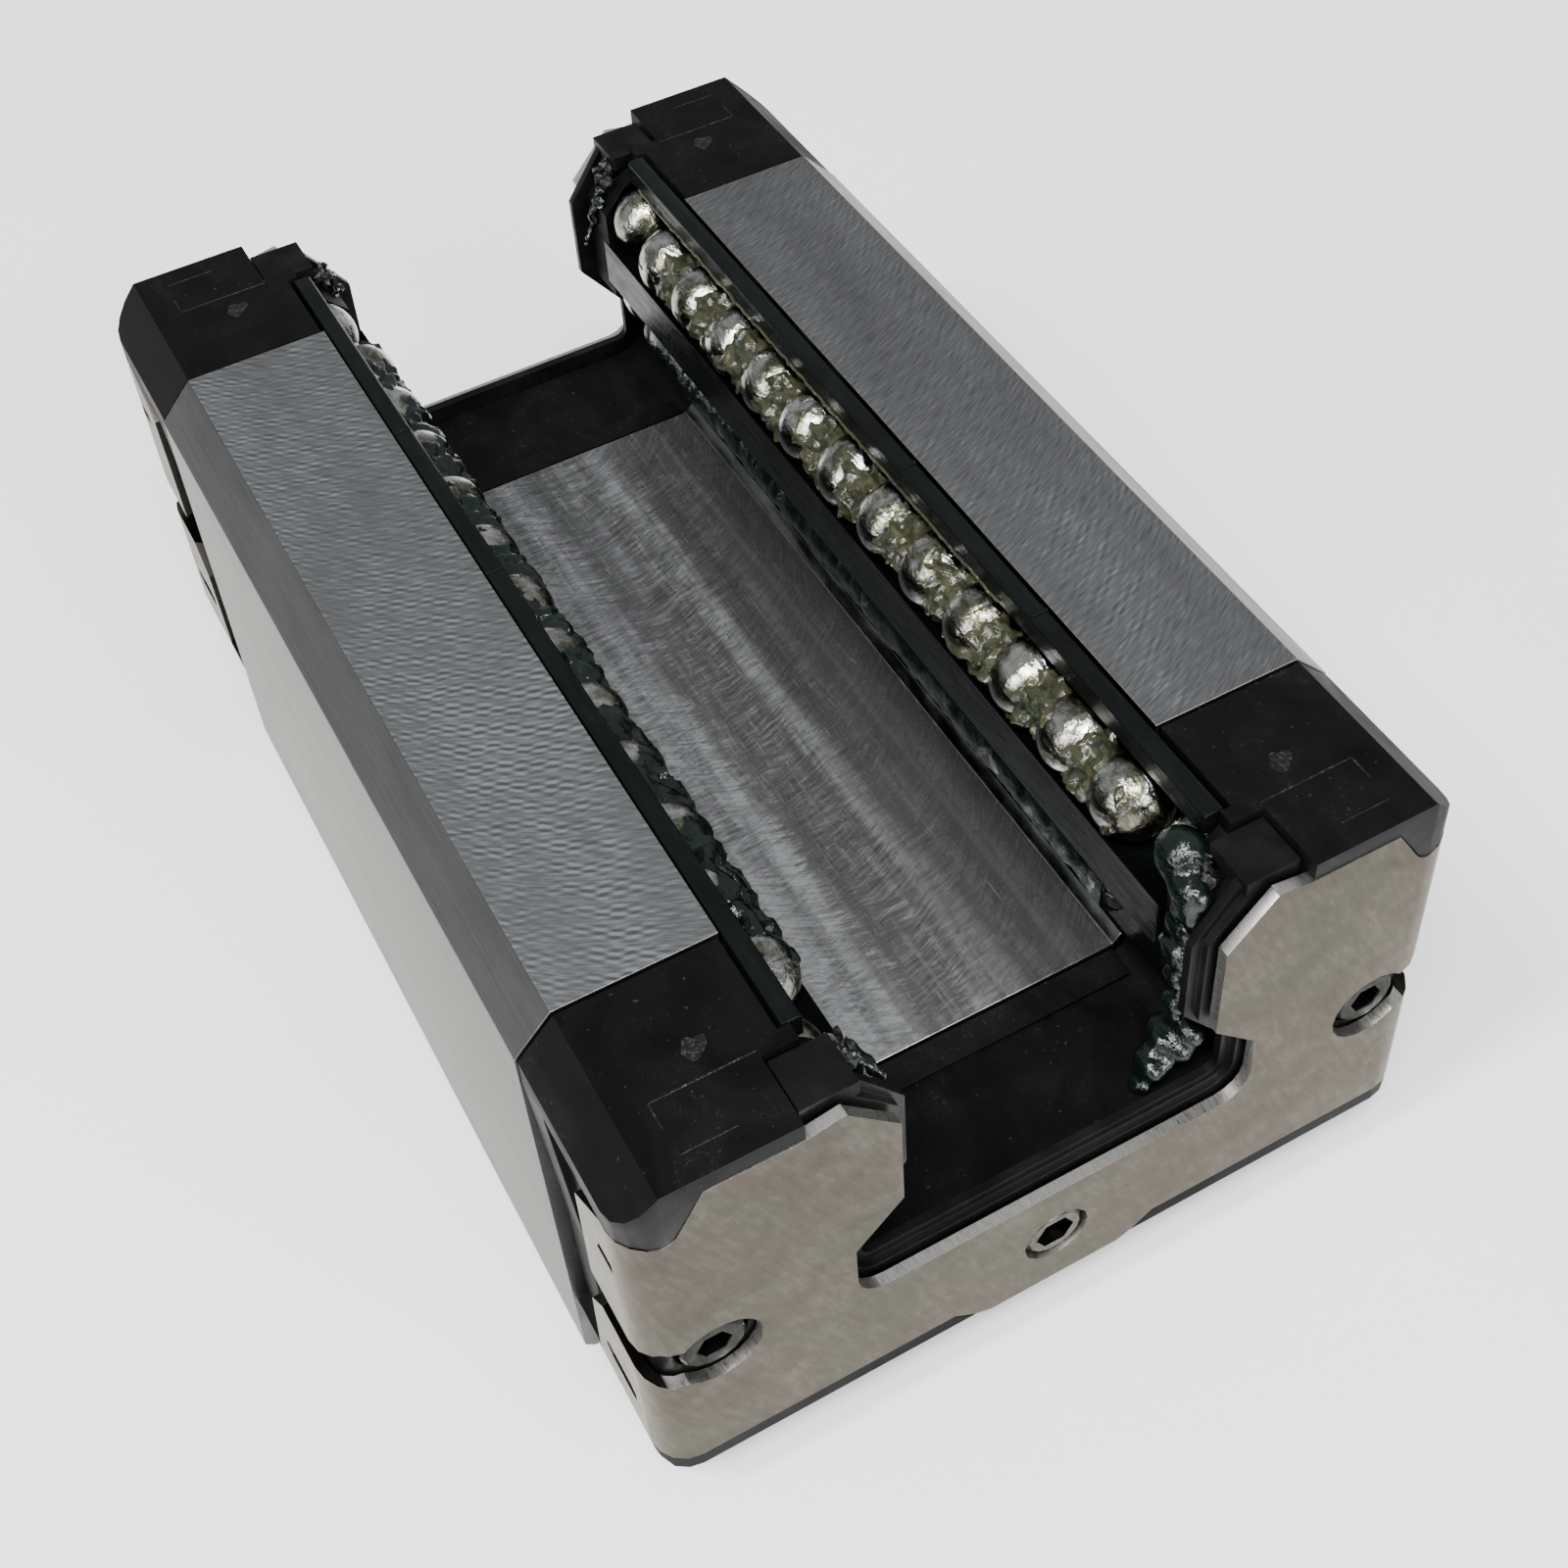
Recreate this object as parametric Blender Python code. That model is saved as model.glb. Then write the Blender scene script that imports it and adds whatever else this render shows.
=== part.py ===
"""Recirculating-ball linear guide carriage for a 34 mm wide profile rail.

The carriage lies on its mounting face with the rail channel open towards +Z.
X runs across the width, Y along the rail, and the origin is the middle of the
mounting face. "Outer" ball rows are the ones near the open side of the channel,
"inner" rows the ones near its floor. "Front" is the -Y end.
"""

import math

import bmesh
import bpy
from mathutils import Matrix, Vector

MM = 0.001
GAP = 0.25 * MM

# Overall block
WIDTH = 70.0 * MM
LENGTH = 112.4 * MM
HEIGHT = 47.0 * MM
BODY_LENGTH = 79.0 * MM
TOP_CHAMFER = (3.25 * MM, 3.5 * MM)
FOOT_CHAMFER = 0.8 * MM

# Rail channel: outline of the cut-out in the scraper plates
WAIST_HALF = 13.6 * MM
HEAD_HALF = 17.7 * MM
CHANNEL_FLOOR = 20.0 * MM
FLOOR_RADIUS = 2.6 * MM
LOWER_FLANK = (27.0 * MM, 31.2 * MM)
UPPER_FLANK = (41.1 * MM, 45.5 * MM)
SEAL_INTERFERENCE = 1.5 * MM
STEEL_FLOOR = 20.8 * MM
MILLED_EDGE = 18.6 * MM

# Ball circuits
BALL_RADIUS = 3.572 * MM
BALL_PITCH = 7.16 * MM
BALLS_PER_ROW = 12
NECK_RADIUS = 0.6 * MM
LOAD_X = 16.6 * MM
RETURN_X = 26.4 * MM
ROW_HEIGHT = {"outer": 40.5 * MM, "inner": 31.7 * MM}
RACEWAY_RADIUS = 3.78 * MM
BORE_RADIUS = 3.9 * MM
TRACK_RADIUS = 4.0 * MM
TURN_RADIUS = (RETURN_X - LOAD_X) / 2
TURN_X = (RETURN_X + LOAD_X) / 2
TURN_Y = 43.7 * MM
REST_SHIFT = -0.55 * MM
GUIDE_LOW = 28.3 * MM
GUIDE_HIGH = 43.9 * MM

# End caps, seals and plates
CAP_FOOT = 7.3 * MM
CAP_TOP = 46.9 * MM
CAP_CORNER = 3.0 * MM
SEAL_SEAT = 53.0 * MM
PLATE_SEAT = 55.0 * MM
PLATE_THICKNESS = 1.0 * MM
PLATE_HALF = 34.85 * MM
PLATE_FOOT = 8.9 * MM
STRIP_END = 48.4 * MM
CORE_END = 48.6 * MM

# Fasteners
BOLT_SPACING = 50.0 * MM
BOLT_DRILL_RADIUS = 3.4 * MM
BOLT_DEPTH = 13.0 * MM
SCREW_X = 29.3 * MM
SCREW_Z = 23.3 * MM
SCREW_RADIUS = 1.45 * MM
SCREW_HEAD_RADIUS = 2.75 * MM
SCREW_HEAD_HEIGHT = 3.4 * MM
SCREW_LENGTH = 22.5 * MM
PORT_Z = 13.4 * MM
PORT_SCREW_RADIUS = 2.65 * MM
PORT_SCREW_LENGTH = 6.0 * MM

LEFT_RIGHT = {"left": -1, "right": 1}
FRONT_REAR = {"front": -1, "rear": 1}
BODY_END = BODY_LENGTH / 2
CAP_START = BODY_END + GAP
LIP_FRONT = LENGTH / 2 - 0.05 * MM

PAINTS = {
    "ground_steel": ((0.42, 0.42, 0.43), 0.32, 1.0),
    "ball_steel": ((0.72, 0.72, 0.70), 0.08, 1.0),
    "plate_steel": ((0.55, 0.52, 0.46), 0.3, 1.0),
    "cap_plastic": ((0.018, 0.018, 0.019), 0.42, 0.0),
    "retainer_plastic": ((0.012, 0.014, 0.014), 0.3, 0.0),
    "seal_rubber": ((0.02, 0.02, 0.02), 0.6, 0.0),
    "black_screw": ((0.03, 0.03, 0.03), 0.4, 0.8),
    "bright_screw": ((0.5, 0.5, 0.48), 0.25, 1.0),
}


# ---------------------------------------------------------------- scene and mesh helpers


def clear_scene():
    for obj in list(bpy.data.objects):
        bpy.data.objects.remove(obj, do_unlink=True)


def make_paint(name):
    colour, roughness, metallic = PAINTS[name]
    paint = bpy.data.materials.new(name)
    paint.use_nodes = True
    shader = paint.node_tree.nodes["Principled BSDF"]
    shader.inputs["Base Color"].default_value = (*colour, 1.0)
    shader.inputs["Roughness"].default_value = roughness
    shader.inputs["Metallic"].default_value = metallic
    return paint


def place(name, mesh, paint=None, location=(0, 0, 0), rotation=(0, 0, 0), parent=None):
    obj = bpy.data.objects.new(name, mesh)
    bpy.context.scene.collection.objects.link(obj)
    obj.location = location
    obj.rotation_euler = rotation
    if parent:
        obj.parent = parent
    if paint:
        if not mesh.materials:
            mesh.materials.append(paint)
        mesh.shade_smooth()
        mesh.set_sharp_from_angle(angle=math.radians(35))
    return obj


def finish_mesh(bm, name):
    bmesh.ops.remove_doubles(bm, verts=bm.verts, dist=1e-6)
    bmesh.ops.recalc_face_normals(bm, faces=bm.faces)
    mesh = bpy.data.meshes.new(name)
    bm.to_mesh(mesh)
    bm.free()
    return mesh


def extruded(outline, start, end, axis):
    """Prism of a closed outline. Axis "Y" reads the outline as (x, z), "Z" as (x, y), "X" as (y, z)."""
    order = {"X": (2, 0, 1), "Y": (0, 2, 1), "Z": (0, 1, 2)}[axis]
    bm = bmesh.new()
    verts = []
    for u, v in outline:
        corner = (u, v, start)
        verts.append(bm.verts.new([corner[i] for i in order]))
    face = bm.faces.new(verts)
    moved = bmesh.ops.extrude_face_region(bm, geom=[face])
    step = [(0, 0, end - start)[i] for i in order]
    new_verts = [item for item in moved["geom"] if isinstance(item, bmesh.types.BMVert)]
    bmesh.ops.translate(bm, verts=new_verts, vec=step)
    return finish_mesh(bm, "prism")


def turned(profile, steps):
    """Solid of revolution about Z. The profile lists (radius, z) points and starts and ends on the axis."""
    bm = bmesh.new()
    verts = [bm.verts.new((radius, 0, z)) for radius, z in profile]
    edges = [bm.edges.new(pair) for pair in zip(verts, verts[1:])]
    axis = {"cent": (0, 0, 0), "axis": (0, 0, 1), "angle": math.tau}
    bmesh.ops.spin(bm, geom=verts + edges, steps=steps, use_merge=True, **axis)
    return finish_mesh(bm, "turning")


def box(low, high):
    corners = [(low[0], low[1]), (high[0], low[1]), (high[0], high[1]), (low[0], high[1])]
    return extruded(corners, low[2], high[2], "Z")


def cutter(mesh, location=(0, 0, 0), rotation=(0, 0, 0)):
    obj = place("cutter", mesh, location=location, rotation=rotation)
    obj.hide_render = True
    obj.display_type = "WIRE"
    return obj


def carve(obj, cutters, operation="DIFFERENCE"):
    """Apply one Boolean per cutter to the object's mesh, then drop the cutters."""
    paints = list(obj.data.materials)
    for tool in cutters:
        cut = obj.modifiers.new("cut", "BOOLEAN")
        cut.object = tool
        cut.operation = operation
        cut.solver = "EXACT"
    scene_state = bpy.context.evaluated_depsgraph_get()
    mesh = bpy.data.meshes.new_from_object(obj.evaluated_get(scene_state))
    obj.modifiers.clear()
    obj.data = mesh
    if paints and not mesh.materials:
        mesh.materials.append(paints[0])
    for tool in cutters:
        bpy.data.objects.remove(tool, do_unlink=True)
    return obj


def arc(centre, radius, start_deg, end_deg, steps):
    """Points on an arc, both ends included."""
    points = []
    for i in range(steps + 1):
        angle = math.radians(start_deg + (end_deg - start_deg) * i / steps)
        points.append((centre[0] + radius * math.cos(angle), centre[1] + radius * math.sin(angle)))
    return points


def mirrored(half):
    """Full outline from its right half, which runs from the centre line round to the centre line."""
    return half + [(-x, z) for x, z in reversed(half)]


def rounded_rectangle(half_x, half_y, radius, steps=4):
    outline = []
    for quarter, (sx, sy) in enumerate([(1, 1), (-1, 1), (-1, -1), (1, -1)]):
        centre = (sx * (half_x - radius), sy * (half_y - radius))
        outline += arc(centre, radius, 90 * quarter, 90 * quarter + 90, steps)
    return outline


def along_y(radius, length, steps, location):
    """Cylinder along +Y whose near end is at the location."""
    profile = [(0, 0), (radius, 0), (radius, length), (0, length)]
    return cutter(turned(profile, steps), location, (-math.pi / 2, 0, 0))


# ---------------------------------------------------------------- shared outlines


def rail_outline(inset=0.0, open_to=HEIGHT + 2 * MM, steps=4):
    """Right half of the rail-shaped channel, from its open side down to the floor.

    A positive inset moves the outline towards the rail.
    """
    lean = inset * math.tan(math.radians(22.5))
    head = HEAD_HALF - inset
    waist = WAIST_HALF - inset
    floor = CHANNEL_FLOOR + inset
    radius = max(FLOOR_RADIUS - inset, 0.8 * MM)
    walls = [
        (head, open_to),
        (head, UPPER_FLANK[1] + lean),
        (waist, UPPER_FLANK[0] - lean),
        (waist, LOWER_FLANK[1] + lean),
        (head, LOWER_FLANK[0] - lean),
    ]
    return walls + arc((head - radius, floor + radius), radius, 0, -90, steps)


def track_tube(height):
    """Swept tube of one end turn at the front right: in along the load row, round and back to the bore."""
    stations = [(LOAD_X, -BODY_END + MM, 0)]
    arc_steps = 8
    for i in range(arc_steps + 1):
        turn = math.pi * i / arc_steps
        x = TURN_X - TURN_RADIUS * math.cos(turn)
        stations.append((x, -TURN_Y - TURN_RADIUS * math.sin(turn), turn))
    stations.append((RETURN_X, -BODY_END + MM, math.pi))
    sides = 10
    bm = bmesh.new()
    rings = []
    for x, y, turn in stations:
        across = Vector((-math.cos(turn), -math.sin(turn), 0))
        ring = []
        for k in range(sides):
            angle = math.tau * (k + 0.5) / sides
            offset = across * math.cos(angle) + Vector((0, 0, math.sin(angle)))
            ring.append(bm.verts.new(Vector((x, y, height)) + offset * TRACK_RADIUS))
        rings.append(ring)
    for near, far in zip(rings, rings[1:]):
        for k in range(sides):
            bm.faces.new((near[k], near[(k + 1) % sides], far[(k + 1) % sides], far[k]))
    bm.faces.new(rings[0])
    bm.faces.new(list(reversed(rings[-1])))
    return finish_mesh(bm, "track")


# ---------------------------------------------------------------- steel body


def body_outline():
    groove_steps = 5
    outer = (LOAD_X, ROW_HEIGHT["outer"])
    inner = (LOAD_X, ROW_HEIGHT["inner"])
    undercut = 19.9 * MM
    half = [
        (WIDTH / 2 - FOOT_CHAMFER, 0),
        (WIDTH / 2, FOOT_CHAMFER),
        (WIDTH / 2, HEIGHT - TOP_CHAMFER[1]),
        (WIDTH / 2 - TOP_CHAMFER[0], HEIGHT),
        (MILLED_EDGE, HEIGHT),
        (MILLED_EDGE, HEIGHT - 1.4 * MM),
        (undercut, HEIGHT - 1.4 * MM),
    ]
    half += arc(outer, RACEWAY_RADIUS, 30, -75, groove_steps)
    half += arc(inner, RACEWAY_RADIUS, 75, -30, groove_steps)
    half += [
        (undercut, 21.7 * MM),
        (17.0 * MM, 21.7 * MM),
        (16.2 * MM, STEEL_FLOOR),
    ]
    return mirrored(half)


def drilled_hole(radius, depth, mouth=0.0):
    """Cutter for a blind hole from z = 0 upwards, with a drill point and an optional mouth chamfer."""
    lead = 0.5 * MM
    profile = [(0, -lead), (radius + mouth, -lead), (radius + mouth, 0)]
    if mouth:
        profile.append((radius, mouth))
    profile += [(radius, depth), (0, depth + radius * 0.6)]
    return turned(profile, 12)


def make_steel_body(paint):
    body = place("steel_body", extruded(body_outline(), -BODY_END, BODY_END, "Y"), paint)
    tools = []
    for sx in (-1, 1):
        for height in ROW_HEIGHT.values():
            start = (sx * RETURN_X, -BODY_END - MM, height)
            tools.append(along_y(BORE_RADIUS, BODY_LENGTH + 2 * MM, 12, start))
        for sy in (-1, 1):
            bolt = drilled_hole(BOLT_DRILL_RADIUS, BOLT_DEPTH, 0.8 * MM)
            tools.append(cutter(bolt, (sx * BOLT_SPACING / 2, sy * BOLT_SPACING / 2, 0)))
            screw = drilled_hole(SCREW_RADIUS + 0.25 * MM, 12 * MM)
            tip = (sx * SCREW_X, sy * BODY_END, SCREW_Z)
            tools.append(cutter(screw, tip, (sy * math.pi / 2, 0, 0)))
    return carve(body, tools)


# ---------------------------------------------------------------- end caps and turn guides


def cap_outline():
    """Outer front-view outline of an end cap, closed across the rail channel."""
    half = [(PLATE_HALF - 0.9 * MM, CAP_FOOT), (PLATE_HALF - 0.1 * MM, CAP_FOOT + 0.8 * MM)]
    half += [(PLATE_HALF - 0.1 * MM, PLATE_FOOT), (33.75 * MM, PLATE_FOOT + 0.4 * MM)]
    half += [(33.95 * MM, 24.0 * MM), (34.9 * MM, 41.8 * MM)]
    half += [(34.9 * MM, HEIGHT - TOP_CHAMFER[1]), (31.7 * MM, CAP_TOP)]
    half += rail_outline(-0.2 * MM, CAP_TOP)
    return mirrored(half)


def plate_rim(grow, reach):
    """Right half of a plate's front-view rim: tongue under the port, foot, side, dip at the corner."""
    tip = PLATE_FOOT - 2.0 * MM
    tongue = [(6.0 * MM + grow, tip - grow), (7.6 * MM + grow, tip + 0.7 * MM - grow)]
    foot = [(9.4 * MM + grow, PLATE_FOOT - grow), (reach, PLATE_FOOT - grow)]
    shoulder = [(reach, 41.2 * MM + grow), (34.0 * MM, 41.2 * MM + grow)]
    dip = arc((32.1 * MM, 42.4 * MM), 1.7 * MM - grow, -60, -135, 3)
    top = [(28.6 * MM, 45.1 * MM + grow), (20.6 * MM, 45.1 * MM + grow)]
    return tongue + foot + shoulder + dip + top


def plate_seat_outline(grow):
    """Front-view outline of the room for a scraper plate, open past its sides and over the seal."""
    return mirrored(plate_rim(grow, 40 * MM) + [(20.6 * MM, HEIGHT + MM)])


def seat_ring():
    """Everything outside the rounded inner block of the cap, which the bent plate wraps."""
    ring = cutter(extruded(plate_seat_outline(0.15 * MM), -60 * MM, -43.4 * MM, "Y"))
    inner_half = PLATE_HALF - PLATE_THICKNESS - 0.15 * MM
    corner = CAP_CORNER - PLATE_THICKNESS
    block = rounded_rectangle(inner_half, PLATE_SEAT, corner)
    return carve(ring, [cutter(extruded(block, 0, HEIGHT * 1.2, "Z"))])


def cap_core():
    """Wide channel behind the end wall, which takes the strips and retainers."""
    half = [
        (18.9 * MM, HEIGHT + MM),
        (18.9 * MM, 45.8 * MM),
        (20.1 * MM, 45.8 * MM),
        (20.1 * MM, 21.4 * MM),
        (17.2 * MM, 21.4 * MM),
        (16.2 * MM, 20.4 * MM),
    ]
    return extruded(mirrored(half), -CORE_END, -BODY_END, "Y")


def guide_outline(grow):
    """Plan view of a turn guide: straight sides from the body, then a half circle round the turn."""
    radius = 4.3 * MM + grow
    start = -CAP_START - (GAP - grow)
    turn = arc((TURN_X, -TURN_Y), radius, 0, -180, 9)
    return [(TURN_X + radius, start)] + turn + [(TURN_X - radius, start)]


def mirror_x(mesh):
    """Mirrored copy of a mesh across the YZ plane, with its faces still pointing out."""
    bm = bmesh.new()
    bm.from_mesh(mesh)
    bmesh.ops.transform(bm, matrix=Matrix.Scale(-1, 4, (1, 0, 0)), verts=bm.verts)
    bmesh.ops.reverse_faces(bm, faces=bm.faces)
    copy = bpy.data.meshes.new(mesh.name)
    bm.to_mesh(copy)
    bm.free()
    return copy


def grease_gallery():
    """Cutters of the duct that leads from the port across the cap and up into both turns."""
    half = 0.8 * MM
    duct_end = -41.2 * MM
    ports = box((-TURN_X - half, duct_end, PORT_Z - half), (TURN_X + half, -BODY_END, PORT_Z + half))
    tools = [cutter(ports)]
    for sx in (-1, 1):
        riser = box((-half, duct_end, PORT_Z), (half, -BODY_END, GUIDE_LOW))
        tools.append(cutter(riser, (sx * TURN_X, 0, 0)))
    return tools


def cap_tools():
    """Cutters of the front end cap."""
    outside = -58 * MM
    thread_radius = SCREW_RADIUS + GAP
    tools = [seat_ring(), cutter(cap_core())] + grease_gallery()
    pocket = extruded(guide_outline(GAP), GUIDE_LOW - 0.2 * MM, GUIDE_HIGH + 0.2 * MM, "Z")
    notch = box((15.5 * MM, outside, 44.6 * MM), (20.85 * MM, -50 * MM, HEIGHT + MM))
    tracks = [track_tube(height) for height in ROW_HEIGHT.values()]
    for sx in (-1, 1):
        for mesh in [pocket, notch] + tracks:
            tools.append(cutter(mesh if sx > 0 else mirror_x(mesh)))
        screw_x = sx * SCREW_X
        head_floor = -PLATE_SEAT + SCREW_HEAD_HEIGHT
        tools.append(along_y(thread_radius, 20 * MM, 12, (screw_x, outside, SCREW_Z)))
        tools.append(along_y(3.1 * MM, head_floor - outside, 16, (screw_x, outside, SCREW_Z)))
    tools.append(along_y(PORT_SCREW_RADIUS + 0.2 * MM, 20 * MM, 14, (0, outside, PORT_Z)))
    tools.append(cutter(extruded(seal_outline(0.2 * MM, 2 * MM), -PLATE_SEAT - 2 * MM, -SEAL_SEAT, "Y")))
    return tools


def make_end_caps(paint):
    block = extruded(cap_outline(), -LIP_FRONT, -CAP_START, "Y")
    cap = place("end_cap_front", block, paint)
    corners = rounded_rectangle(WIDTH, LIP_FRONT, CAP_CORNER)
    corners = [(x - math.copysign(WIDTH - PLATE_HALF, x), y) for x, y in corners]
    shell = cutter(extruded(corners, 0, HEIGHT * 1.2, "Z"))
    carve(cap, [shell], "INTERSECT")
    carve(cap, cap_tools())
    place("end_cap_rear", cap.data, paint, rotation=(0, 0, math.pi))


def make_turn_guides(paint):
    """Half-round spools that lead the balls from the load rows into the return bores."""
    block = extruded(guide_outline(0), GUIDE_LOW, GUIDE_HIGH, "Z")
    spool = carve(cutter(block), [cutter(track_tube(height)) for height in ROW_HEIGHT.values()])
    right = spool.data
    bpy.data.objects.remove(spool, do_unlink=True)
    left = mirror_x(right)
    place("turn_guide_front_right", right, paint)
    place("turn_guide_front_left", left, paint)
    place("turn_guide_rear_left", right, paint, rotation=(0, 0, math.pi))
    place("turn_guide_rear_right", left, paint, rotation=(0, 0, math.pi))


# ---------------------------------------------------------------- retainers and strips


def strip_section():
    """Edge strip that closes the gap between the milled face and the outer ball row."""
    return [
        (16.75 * MM, 44.45 * MM),
        (19.65 * MM, 44.45 * MM),
        (19.65 * MM, 45.35 * MM),
        (18.4 * MM, 45.35 * MM),
        (18.4 * MM, 46.75 * MM),
        (17.0 * MM, 46.75 * MM),
        (16.75 * MM, 46.5 * MM),
    ]


def centre_section():
    """Retainer between the two ball rows: a web at its back and a bulb facing the rail."""
    reach = RACEWAY_RADIUS + 0.12 * MM
    face = 13.15 * MM
    swing = math.degrees(math.acos((LOAD_X - face) / reach))
    lower = arc((LOAD_X, ROW_HEIGHT["inner"]), reach, 180 - swing, 90, 5)
    upper = arc((LOAD_X, ROW_HEIGHT["outer"]), reach, 270, 180 + swing, 5)
    back = 17.2 * MM
    return lower + [(back, lower[-1][1]), (back, upper[0][1])] + upper


def floor_section():
    """Retainer between the inner ball row and the channel floor."""
    return [
        (17.25 * MM, 22.0 * MM),
        (19.6 * MM, 22.0 * MM),
        (19.6 * MM, 27.4 * MM),
        (17.7 * MM, 27.4 * MM),
        (17.0 * MM, 26.7 * MM),
        (17.0 * MM, 22.3 * MM),
    ]


def make_long_parts(paints):
    sections = {
        "edge_strip": (strip_section(), paints["retainer_plastic"]),
        "centre_retainer": (centre_section(), paints["retainer_plastic"]),
        "floor_retainer": (floor_section(), paints["retainer_plastic"]),
    }
    for name, (section, paint) in sections.items():
        right = extruded(section, -STRIP_END, STRIP_END, "Y")
        place(f"{name}_right", right, paint)
        place(f"{name}_left", mirror_x(right), paint)


# ---------------------------------------------------------------- end seals and scraper plates


def seal_outline(grow, lip):
    """Front-view outline of an end seal; lip is how far its channel edge reaches towards the rail."""
    half = [(25.0 * MM + grow, 11.0 * MM - grow), (25.0 * MM + grow, 43.4 * MM + grow)]
    half += [(20.6 * MM + grow, 43.4 * MM + grow), (20.6 * MM + grow, 46.3 * MM + grow)]
    return mirrored(half + rail_outline(lip, 46.3 * MM + grow))


def make_end_seals(paint):
    plate = extruded(seal_outline(0, 0.6 * MM), -PLATE_SEAT + GAP, -SEAL_SEAT - GAP, "Y")
    seal = place("end_seal_front", plate, paint)
    lip_back, lip_front = -SEAL_SEAT - GAP, -SEAL_SEAT - GAP - 0.8 * MM
    lip = extruded(seal_outline(-4 * MM, SEAL_INTERFERENCE), lip_front, lip_back, "Y")
    blocks = []
    for sx in (-1, 1):
        block = box((15.9 * MM, -PLATE_SEAT + GAP, 44.85 * MM), (20.6 * MM, -50.2 * MM, 46.3 * MM))
        blocks.append(cutter(block if sx > 0 else mirror_x(block)))
    carve(seal, [cutter(lip)] + blocks, "UNION")
    carve(seal, [along_y(PORT_SCREW_RADIUS + 0.3 * MM, 8 * MM, 14, (0, -58 * MM, PORT_Z))])
    place("end_seal_rear", seal.data, paint, rotation=(0, 0, math.pi))


def bent_sheet():
    """Sheet steel bent round both corners of the cap, as a closed strip in plan view."""
    front = LENGTH / 2
    tab_end = 44.0 * MM
    centre = (PLATE_HALF - CAP_CORNER, -front + CAP_CORNER)
    outer_right = arc(centre, CAP_CORNER, 0, -90, 4)
    inner_right = arc(centre, CAP_CORNER - PLATE_THICKNESS, -90, 0, 4)
    right = [(PLATE_HALF, -tab_end)] + outer_right
    outer = right + [(-x, y) for x, y in reversed(right)]
    right_inside = inner_right + [(PLATE_HALF - PLATE_THICKNESS, -tab_end)]
    inner = [(-x, y) for x, y in reversed(right_inside)] + right_inside
    return outer + inner


def plate_face_outline():
    """Front-view outline of a scraper plate, closed across the rail channel."""
    return mirrored(plate_rim(0, 36 * MM) + [(17.9 * MM, 45.6 * MM)])


def tab_tools():
    """Cutters that shape the side tabs: sloping ends, lances, and the slot between the tabs."""
    through = 40 * MM
    slope_upper = [(-43 * MM, 23.5 * MM), (-46.8 * MM, 23.5 * MM), (-47.4 * MM, 37.4 * MM)]
    slope_upper += [(-49.2 * MM, 38.8 * MM), (-53.4 * MM, 42.0 * MM), (-43 * MM, 42.0 * MM)]
    slope_lower = [(-43 * MM, 7 * MM), (-45.8 * MM, 7 * MM), (-44.4 * MM, 10 * MM)]
    slope_lower += [(-45.2 * MM, 18.5 * MM), (-48.4 * MM, 22.0 * MM), (-43 * MM, 23.6 * MM)]
    upper_lance = [(-53.0 * MM, 35.9 * MM), (-53.0 * MM, 34.7 * MM), (-50.4 * MM, 34.7 * MM)]
    upper_lance += [(-50.9 * MM, 35.9 * MM)]
    middle = (-49.2 * MM, 13.6 * MM)
    lower_slot = arc((middle[0] + 1.9 * MM, middle[1]), 0.85 * MM, 90, -90, 3)
    lower_slot += arc((middle[0] - 1.9 * MM, middle[1]), 0.85 * MM, -90, -270, 3)
    outlines = (slope_upper, slope_lower, upper_lance, lower_slot)
    return [cutter(extruded(outline, -through, through, "X")) for outline in outlines]


def slot_outline(sx):
    """Front-view keyhole: a round hole over the screw with a slot that leaves past the corner."""
    centre = (SCREW_X - 0.1 * MM, SCREW_Z - 0.1 * MM)
    radius = 3.6 * MM
    low = [(36 * MM, SCREW_Z - 1.6 * MM), (33.4 * MM, SCREW_Z - 2.6 * MM)]
    high = [(33.4 * MM, SCREW_Z + 2.6 * MM), (36 * MM, SCREW_Z + 1.7 * MM)]
    outline = low + list(reversed(arc(centre, radius, 42, 318, 14))) + high
    return [(sx * x, z) for x, z in outline]


def make_scraper_plates(paint):
    sheet = extruded(bent_sheet(), 6 * MM, 46 * MM, "Z")
    plate = place("scraper_plate_front", sheet, paint)
    face = cutter(extruded(plate_face_outline(), -60 * MM, -40 * MM, "Y"))
    carve(plate, [face], "INTERSECT")
    channel = mirrored(rail_outline(0.0))
    tools = [cutter(extruded(channel, -60 * MM, -50 * MM, "Y"))] + tab_tools()
    for sx in (-1, 1):
        tools.append(cutter(extruded(slot_outline(sx), -60 * MM, -40 * MM, "Y")))
    tools.append(along_y(PORT_SCREW_RADIUS + 0.3 * MM, 8 * MM, 14, (0, -60 * MM, PORT_Z)))
    carve(plate, tools)
    place("scraper_plate_rear", plate.data, paint, rotation=(0, 0, math.pi))


# ---------------------------------------------------------------- screws


def hex_outline(across_flats):
    return arc((0, 0), across_flats / math.sqrt(3), 0, 300, 5)


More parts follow.
